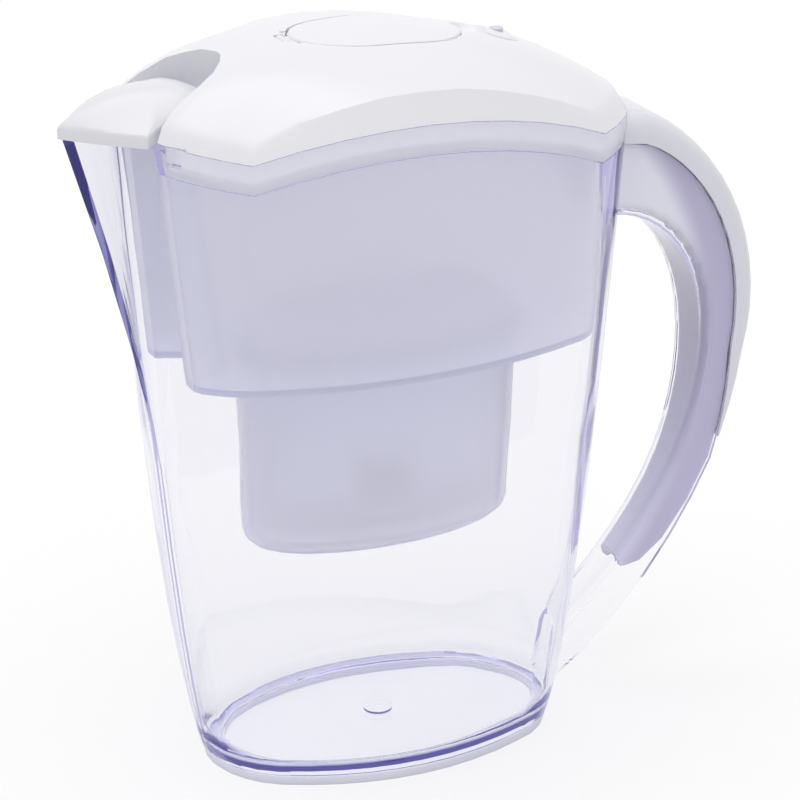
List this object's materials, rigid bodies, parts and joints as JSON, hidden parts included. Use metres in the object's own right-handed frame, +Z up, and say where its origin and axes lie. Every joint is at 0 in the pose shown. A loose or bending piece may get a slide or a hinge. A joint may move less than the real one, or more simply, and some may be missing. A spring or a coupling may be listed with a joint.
{
  "type": "water filter pitcher",
  "caption": "Clear oval pitcher with a V-shaped beak, side handle, hanging hopper and filter well, domed lid with refill door and a pouring flap.",
  "frame": {"origin": "middle of the base, in the plane the pitcher stands on", "axes": "+Z up, +X from the beak to the handle, Y across the pitcher"},
  "size_m": [0.2618, 0.115, 0.264],
  "materials": {
    "clear_jug": "clear, polished",
    "soft_ring": "satin",
    "grip": "satin",
    "cover": "smooth",
    "tinted_hopper": "translucent violet tint",
    "lid_white": "glossy",
    "flap_white": "glossy",
    "door_white": "glossy",
    "pin_steel": "plain",
    "button_pale": "smooth",
    "cartridge_shell": "translucent",
    "cartridge_cap": "smooth",
    "seal": "soft",
    "mesh": "fine mesh",
    "media": "granular"
  },
  "bodies": {
    "jug_body": {"jug": "clear_jug", "base_ring": "soft_ring", "handle_insert": "grip", "handle_cover": "cover"},
    "hopper_body": {"hopper": "tinted_hopper"},
    "lid_body": {"lid": "lid_white", "hinge_pin": "pin_steel"},
    "flap_body": {"spout_flap": "flap_white"},
    "door_body": {"refill_door": "door_white"},
    "button_body": {"indicator_button": "button_pale"},
    "cartridge_body": {"cartridge_body": "cartridge_shell", "cartridge_cap": "cartridge_cap", "cartridge_seal": "seal", "upper_screen": "mesh", "lower_screen": "mesh", "filter_media": "media"}
  },
  "joints": [
    {"name": "hopper_lift", "type": "slide", "parent": "jug_body", "child": "hopper_body", "axis": [0, 0, 1], "range_m": [0, 0.17]},
    {"name": "lid_lift", "type": "slide", "parent": "hopper_body", "child": "lid_body", "axis": [0, 0, 1], "range_m": [0, 0.06]},
    {"name": "cartridge_lift", "type": "slide", "parent": "hopper_body", "child": "cartridge_body", "axis": [0, 0, 1], "range_m": [0, 0.06]},
    {"name": "flap_swing", "type": "hinge", "parent": "lid_body", "child": "flap_body", "pos_m": [-0.077, 0, 0.2463], "axis": [0, 1, 0], "range_deg": [0, 40]},
    {"name": "door_swing", "type": "hinge", "parent": "lid_body", "child": "door_body", "pos_m": [-0.0334, 0, 0.26198], "axis": [0, -1, 0], "range_deg": [0, 90]},
    {"name": "button_press", "type": "slide", "parent": "lid_body", "child": "button_body", "axis": [0, 0, -1], "range_m": [0, 0.0007], "stiffness_N_per_m": 300}
  ]
}
